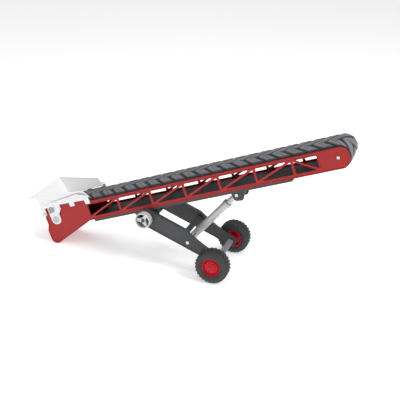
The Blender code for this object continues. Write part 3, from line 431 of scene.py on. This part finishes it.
def paint_groove_shade_and_rib_highlight(material, attribute):
    """Paints shade into a material where a stored height is low, in the belt's grooves and along its edges, and
    paints a highlight where it is high, on the rib tops.
    """
    tree = material.node_tree
    shader = tree.nodes["Principled BSDF"]
    height = tree.nodes.new("ShaderNodeAttribute")
    height.attribute_name = attribute
    # painted shade in the grooves and on the belt's edges, painted highlight above 1 on the rib tops
    shade_and_highlight_stops = (
        (0.10, (0.07, 0.07, 0.08, 1.0)),
        (0.60, (0.45, 0.45, 0.46, 1.0)),
        (0.95, (1.20, 1.20, 1.22, 1.0)),
    )
    shade = ramp(tree, height, "Fac", shade_and_highlight_stops)
    mixed = tree.nodes.new("ShaderNodeMix")
    mixed.data_type = "RGBA"
    mixed.blend_type = "MULTIPLY"
    mixed.inputs["Factor"].default_value = 1.0
    before = shader.inputs["Base Color"].links[0].from_socket
    tree.links.new(before, mixed.inputs["A"])
    link(tree, shade, "Color", mixed, "B")
    link(tree, mixed, "Result", shader, "Base Color")


red_plastic = moulded("red_moulding", RED, 0.34, 0.06)
hub_plastic = moulded("hub_moulding", HUB_RED, 0.32, 0.05, shine=0.25)
dark_plastic = moulded("dark_moulding", DARK_GREY, 0.42, 0.12, 900.0, 0.00009)
belt_rubber = moulded("belt_rubber", BELT_GREY, 0.50, 0.16, 700.0, 0.00012)
tyre_rubber = moulded("tyre_rubber", TYRE_BLACK, 0.60, 0.18, 800.0, 0.00012)
white_plastic = moulded("white_moulding", WHITE, 0.40, 0.025)
silver_plastic = moulded("silver_moulding", SILVER, 0.34, 0.06, 1600.0, 0.00001, metallic=0.30)
grey_plastic = moulded("grey_moulding", BEAM_GREY, 0.45, 0.08)
# painted shade on the white hopper skirt: the ear face and the link block
ear_shade_paint = moulded("ear_painted_shade", EAR_SHADE_GREY, 0.40, 0.04)
link_shade_paint = moulded("link_painted_shade", LINK_SHADE_GREY, 0.42, 0.06)
steel = brushed("bright_pin", STEEL, 0.26)

# Each material slot of the record, and its material
NODE_MATERIALS = {
    "red_plastic": red_plastic,
    "hub_plastic": hub_plastic,
    "dark_plastic": dark_plastic,
    "belt_rubber": belt_rubber,
    "tyre_rubber": tyre_rubber,
    "white_plastic": white_plastic,
    "silver_plastic": silver_plastic,
    "grey_plastic": grey_plastic,
    "steel": steel,
}


def paint(obj, material):
    obj.data.materials.clear()
    obj.data.materials.append(material)


def soften_edges(obj, width):
    """Rounds the sharp edges of a CAD node with modifiers only, for a moulded look."""
    weld = obj.modifiers.new("weld", "WELD")
    weld.merge_threshold = WELD_REACH
    flat = obj.modifiers.new("flat", "DECIMATE")
    flat.decimate_type = "DISSOLVE"
    flat.angle_limit = FLAT_ANGLE
    edge = obj.modifiers.new("edge", "BEVEL")
    edge.width = width
    edge.segments = EDGE_SEGMENTS
    edge.limit_method = "ANGLE"
    edge.angle_limit = EDGE_ANGLE
    for polygon in obj.data.polygons:
        polygon.use_smooth = True
    weighted = obj.modifiers.new("weighted", "WEIGHTED_NORMAL")
    weighted.keep_sharp = False
    weighted.weight = NORMAL_WEIGHT


# --------------------------------------------------------------- finer pieces


def finished(name, shape, material, body, replaced=(), smooth_angle=35):
    """A named object from a bmesh, riding on a body, in place of any CAD nodes it replaces."""
    mesh = bpy.data.meshes.new(name)
    bmesh.ops.recalc_face_normals(shape, faces=shape.faces)
    shape.to_mesh(mesh)
    shape.free()
    for polygon in mesh.polygons:
        polygon.use_smooth = True
    mesh.set_sharp_from_angle(angle=math.radians(smooth_angle))
    obj = bpy.data.objects.new(name, mesh)
    bpy.context.scene.collection.objects.link(obj)
    mesh.materials.append(material)
    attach(obj, body)
    if replaced:
        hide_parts(*replaced)
    return obj


def revolve(shape, profile, origin, axis, steps=80, closed=True):
    """Adds a turned surface about an axis to a bmesh, from (radius, height) points."""
    turn = axis.normalized().to_track_quat("Z", "Y").to_matrix()
    rings = []
    for radius, height in profile:
        if radius < TINY:
            rings.append([shape.verts.new(origin + turn @ Vector((0.0, 0.0, height)))])
            continue
        ring = []
        for step in range(steps):
            angle = math.tau * step / steps
            point = Vector((radius * math.cos(angle), radius * math.sin(angle), height))
            ring.append(shape.verts.new(origin + turn @ point))
        rings.append(ring)
    pairs = list(zip(rings, rings[1:]))
    if closed:
        pairs.append((rings[-1], rings[0]))
    for first, second in pairs:
        for step in range(steps):
            following = (step + 1) % steps
            corners = [first[step % len(first)], first[following % len(first)]]
            corners += [second[following % len(second)], second[step % len(second)]]
            unique = []
            for corner in corners:
                if corner not in unique:
                    unique.append(corner)
            if len(unique) > 2:
                shape.faces.new(unique)


def rounded_profile(profile, rounding, steps=3):
    """The (radius, height) profile with its corners rounded, and its ends on the axis left."""
    points = []
    count = len(profile)
    for index, (radius, height) in enumerate(profile):
        corner = Vector((radius, height))
        before = Vector(profile[index - 1]) - corner
        after = Vector(profile[(index + 1) % count]) - corner
        if radius < TINY or before.length < TINY or after.length < TINY:
            points.append((radius, height))
            continue
        reach = min(rounding, before.length * 0.45, after.length * 0.45)
        start = corner + before.normalized() * reach
        end = corner + after.normalized() * reach
        for step in range(steps + 1):
            t = step / steps
            point = start * (1 - t) ** 2 + corner * 2 * t * (1 - t) + end * t**2
            points.append((point.x, point.y))
    return points


def join_loops(shape, loops):
    """Adds the faces between loops of as many corners each, and closes the first and last."""
    for first, second in zip(loops, loops[1:]):
        for corner in range(len(first)):
            following = (corner + 1) % len(first)
            shape.faces.new((first[corner], first[following], second[following], second[corner]))
    shape.faces.new(loops[0])
    shape.faces.new(list(reversed(loops[-1])))


def tyre(side_name):
    """A farm tyre: rounded carcass, bead lines and two rows of curved angled lugs."""
    low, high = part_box("tyre_" + side_name)
    centre = (low + high) / 2
    half = (high.y - low.y) / 2
    outer = joint_at("wheel_near_spin").z
    carcass = outer - TREAD_DEPTH
    bead = outer * RIM_EDGE
    quarter = [(bead + out, half - inset) for out, inset in TYRE_WALL]
    quarter += [(carcass - down, half - inset) for down, inset in TYRE_SHOULDER]
    profile = quarter + [(radius, -height) for radius, height in reversed(quarter)]
    shape = bmesh.new()
    revolve(shape, rounded_profile(profile, TYRE_ROUNDING), centre, SIDE, WHEEL_STEPS)
    for number in range(LUG_PAIRS):
        for flank in (-1, 1):
            angle = math.tau * (number + 0.25 * (1 + flank)) / LUG_PAIRS
            tread_lug(shape, centre, outer, half, flank, angle)
    name = "tyre_tread_" + side_name
    finished(name, shape, tyre_rubber, "wheel_" + side_name, ["tyre_" + side_name], 45)


def tread_lug(shape, centre, outer, half, flank, angle):
    """One lug, swept from the middle of the tread over its shoulder."""
    rings = []
    for station in range(LUG_STATIONS):
        t = station / (LUG_STATIONS - 1)
        across = flank * (t * (half - LUG_INSET) - LUG_OVERLAP)
        sweep = angle + LUG_SWEEP * t**SWEEP_POWER
        past_shoulder = max(0.0, t - SHOULDER_START) / (1 - SHOULDER_START)
        top = outer - SHOULDER_DROP * past_shoulder**2 - LUG_CROWN * (1 - t)
        root = top - TREAD_DEPTH - LUG_ROOT
        width = LUG_HALF_WIDTH + LUG_WIDENING * t
        foot = width * LUG_FLARE
        ring = []
        for offset, radius in ((-foot, root), (-width, top), (width, top), (foot, root)):
            turn = sweep + offset / outer
            place = Vector((radius * math.sin(turn), across, radius * math.cos(turn)))
            ring.append(shape.verts.new(centre + place))
        rings.append(ring)
    join_loops(shape, rings)


def rim(side_name, side):
    """The wheel's centre: stepped rings that bulge outwards, with a rolled edge and a hub cap."""
    low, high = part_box("wheel_rim_" + side_name)
    face = (high.y - low.y) / 2
    centre = (low + high) / 2
    edge = joint_at("wheel_near_spin").z * RIM_EDGE
    profile = [(radius, face - depth) for radius, depth in HUB_STEPS]
    profile += [(edge - inset, face - depth) for inset, depth in RIM_LIP]
    profile += [(edge - inset, depth - face) for inset, depth in RIM_BACK_LIP]
    profile += [(radius, depth - face) for radius, depth in HUB_BACK]
    shape = bmesh.new()
    section = rounded_profile(profile, RIM_ROUNDING, 4)
    revolve(shape, section, centre, SIDE * side, WHEEL_STEPS, closed=False)
    replaced = ["wheel_rim_" + side_name, "hub_cap_" + side_name]
    finished("rim_" + side_name, shape, hub_plastic, "wheel_" + side_name, replaced)


def belt_frame(distance):
    """The point on the rollers' centre lines and the way out from it, at a distance round."""
    straight = (HEAD - TAIL).length
    bend = math.pi * BELT_OUTER
    distance %= 2 * (straight + bend)
    if distance < straight:
        return TAIL + ALONG * distance, UP
    distance -= straight
    if distance < bend:
        angle = distance / BELT_OUTER
        return HEAD, UP * math.cos(angle) + ALONG * math.sin(angle)
    distance -= bend
    if distance < straight:
        return HEAD - ALONG * distance, -UP
    angle = (distance - straight) / BELT_OUTER
    return TAIL, -UP * math.cos(angle) - ALONG * math.sin(angle)


def eased(t):
    t = max(0.0, min(1.0, t))
    return t * t * (3 - 2 * t)


def cleat_height(phase, across):
    """Height of the belt's face: a broad rib with a fine line, a groove, and a dimple."""
    rise = eased(phase / RISE_LENGTH)
    fall = eased((FALL_END - phase) / FALL_LENGTH)
    line = math.exp(-(((phase - LINE_PLACE) / LINE_WIDTH) ** 2))
    height = CLEAT_HEIGHT * min(rise, fall) * (1 - LINE_DEPTH * line)
    behind_apex = (phase - DIMPLE_PLACE) / DIMPLE_LENGTH
    dimple = math.exp(-((across / DIMPLE_WIDTH) ** 2) - behind_apex**2)
    border = eased((BELT_HALF_WIDTH - abs(across)) / BORDER_WIDTH)
    return height * (1 - DIMPLE_DEPTH * dimple) * (BORDER_LEVEL + (1 - BORDER_LEVEL) * border)


def conveyor_belt():
    """The rubber belt: a closed loop with moulded chevron ribs and square edges."""
    length = 2 * (HEAD - TAIL).length + math.tau * BELT_OUTER
    pitch = length / CLEAT_COUNT
    stations = CLEAT_COUNT * STEPS_PER_CLEAT
    shape = bmesh.new()
    rows = []
    levels = []
    for station in range(stations):
        distance = station * length / stations
        centre, outward = belt_frame(distance)
        row = []
        for column in range(BELT_COLUMNS + 1):
            y = BELT_HALF_WIDTH * (2 * column / BELT_COLUMNS - 1)
            lean = CLEAT_LEAN * (abs(y) / BELT_HALF_WIDTH) ** LEAN_POWER
            phase = ((distance - lean) / pitch + CLEAT_START) % 1.0
            level = cleat_height(phase, y)
            row.append(shape.verts.new(centre + outward * (BELT_OUTER + level) + SIDE * y))
            levels.append(level / CLEAT_HEIGHT)
        for y in (BELT_HALF_WIDTH, -BELT_HALF_WIDTH):
            row.append(shape.verts.new(centre + outward * BELT_INNER + SIDE * y))
            levels.append(INNER_FACE_SHADE)
        rows.append(row)
    for index, row in enumerate(rows):
        following = rows[(index + 1) % stations]
        for corner in range(len(row)):
            other = (corner + 1) % len(row)
            shape.faces.new((row[corner], row[other], following[other], following[corner]))
    belt = finished("belt_loop", shape, belt_rubber, "boom", ["conveyor_belt"], 50)
    heights = belt.data.attributes.new("height", "FLOAT", "POINT")
    for index, value in enumerate(levels):
        heights.data[index].value = value


def strut_pieces():
    """The telescopic strut's tube with its closed foot, and the gland at its upper end."""
    foot = joint_at("strut_swing")
    axis = Vector(joints["strut_slide"]["axis"]).normalized()
    tube = bmesh.new()
    revolve(tube, rounded_profile(TUBE_SECTION, TUBE_ROUNDING), foot, axis)
    finished("strut_cylinder", tube, silver_plastic, "strut_outer", ["strut_tube"])
    gland = bmesh.new()
    revolve(gland, rounded_profile(GLAND_SECTION, GLAND_ROUNDING), foot, axis)
    finished("strut_gland", gland, silver_plastic, "strut_outer", ["strut_collar"])


def boom_point(x, z, y):
    """World place of a point of the boom's own side view, at y across."""
    return TAIL + ALONG * (x - TAIL_ALONG) + UP * (z - ROLLER_HEIGHT) + SIDE * y


def raised_pad(shape, outline, side, rise, chamfer):
    """Adds a low boss with a chamfered edge to the outside of a hopper skirt."""
    middle_x = sum(x for x, z in outline) / len(outline)
    middle_z = sum(z for x, z in outline) / len(outline)
    loops = []
    for inset, out in ((0.0, -PAD_ROOT), (0.0, rise - chamfer), (chamfer, rise)):
        loop = []
        for x, z in outline:
            keep = 1 - inset / math.hypot(x - middle_x, z - middle_z)
            place_x = middle_x + (x - middle_x) * keep
            place_z = middle_z + (z - middle_z) * keep
            place = boom_point(place_x, place_z, side * (SKIRT_FACE + out))
            loop.append(shape.verts.new(place))
        loops.append(loop)
    join_loops(shape, loops)


def skirt_details(side_name, side):
    """The clips, the round face of the ear and the link block on a hopper skirt; the ear's face and the link block
    are coloured grey as painted shade on the white skirt.
    """
    clips = bmesh.new()
    for left, right, low, high in SKIRT_CLIPS:
        tips = [(right - CLIP_TAPER, high), (left - CLIP_TAPER, high)]
        raised_pad(clips, [(left, low), (right, low)] + tips, side, CLIP_RISE, CLIP_CHAMFER)
    finished("skirt_clips_" + side_name, clips, white_plastic, "hopper", smooth_angle=20)
    ear = bmesh.new()
    disc = []
    for step in range(EAR_STEPS):
        angle = math.tau * step / EAR_STEPS
        disc.append((EAR_X + EAR_RADIUS * math.cos(angle), EAR_Z + EAR_RADIUS * math.sin(angle)))
    # the ear's face, coloured in painted shade grey
    raised_pad(ear, disc, side, EAR_RISE, EAR_CHAMFER)
    finished("ear_face_" + side_name, ear, ear_shade_paint, "hopper", smooth_angle=20)
    block = bmesh.new()
    # the link block, coloured in painted shade grey
    raised_pad(block, LINK_CORNERS, side, LINK_RISE, LINK_CHAMFER)
    finished("skirt_link_" + side_name, block, link_shade_paint, "hopper", smooth_angle=20)


# -------------------------------------------------------------- stage and light


def studio():
    """A pale glowing floor, an even white world and three soft lamps."""
    floor_height = cad_low.z - FLOOR_DROP
    bpy.ops.mesh.primitive_plane_add(size=FLOOR_SIZE, location=(0.0, 0.0, floor_height))
    floor = bpy.context.object
    floor.name = "floor"
    material = bpy.data.materials.new("pale_floor")
    material.use_nodes = True
    shader = material.node_tree.nodes["Principled BSDF"]
    shader.inputs["Base Color"].default_value = grey(FLOOR_GREY)
    shader.inputs["Emission Color"].default_value = grey(1.0)
    shader.inputs["Emission Strength"].default_value = FLOOR_GLOW
    shader.inputs["Roughness"].default_value = 0.9
    shader.inputs["Specular IOR Level"].default_value = 0.1
    floor.data.materials.append(material)
    world = bpy.data.worlds.new("studio")
    world.use_nodes = True
    background = world.node_tree.nodes["Background"]
    background.inputs["Color"].default_value = grey(1.0)
    background.inputs["Strength"].default_value = WORLD_STRENGTH
    bpy.context.scene.world = world
    for name, location, size, power in LAMPS:
        area_light(name, location, size, power)
    bpy.context.scene.view_settings.view_transform = "Standard"


def area_light(name, location, size, power):
    data = bpy.data.lights.new(name, "AREA")
    data.size = size
    data.energy = power
    lamp = bpy.data.objects.new(name, data)
    lamp.location = location
    lamp.rotation_euler = (LAMP_AIM - Vector(location)).to_track_quat("-Z", "Y").to_euler()
    bpy.context.scene.collection.objects.link(lamp)


def camera():
    """The camera, turned by its roll about its own line of sight."""
    level = math.cos(CAMERA_ELEVATION)
    back = Vector(
        (
            math.sin(CAMERA_AZIMUTH) * level,
            -math.cos(CAMERA_AZIMUTH) * level,
            math.sin(CAMERA_ELEVATION),
        )
    )
    level_right = Vector((math.cos(CAMERA_AZIMUTH), math.sin(CAMERA_AZIMUTH), 0.0))
    level_up = back.cross(level_right)
    right = level_right * math.cos(CAMERA_ROLL) + level_up * math.sin(CAMERA_ROLL)
    up = back.cross(right)
    data = bpy.data.cameras.new("camera")
    data.lens = CAMERA_LENS
    data.sensor_width = CAMERA_SENSOR
    view = bpy.data.objects.new("camera", data)
    place = Matrix((right, up, back)).transposed().to_4x4()
    place.translation = CAMERA_AIM + back * CAMERA_DISTANCE
    view.matrix_world = place
    bpy.context.scene.collection.objects.link(view)
    bpy.context.scene.camera = view


for subpart in frame["record"]["subparts"]:
    paint(nodes[subpart["node"]], NODE_MATERIALS[subpart["material_slot"]])
for node_name, edge_width in SOFT_EDGES.items():
    soften_edges(nodes[node_name], edge_width)
for side_name, side in SIDES:
    tyre(side_name)
    rim(side_name, side)
for side_name, side in SIDES:
    skirt_details(side_name, side)
conveyor_belt()
# painted groove shade and rib-top highlight on the belt, from its stored heights
paint_groove_shade_and_rib_highlight(belt_rubber, "height")
strut_pieces()
studio()
camera()
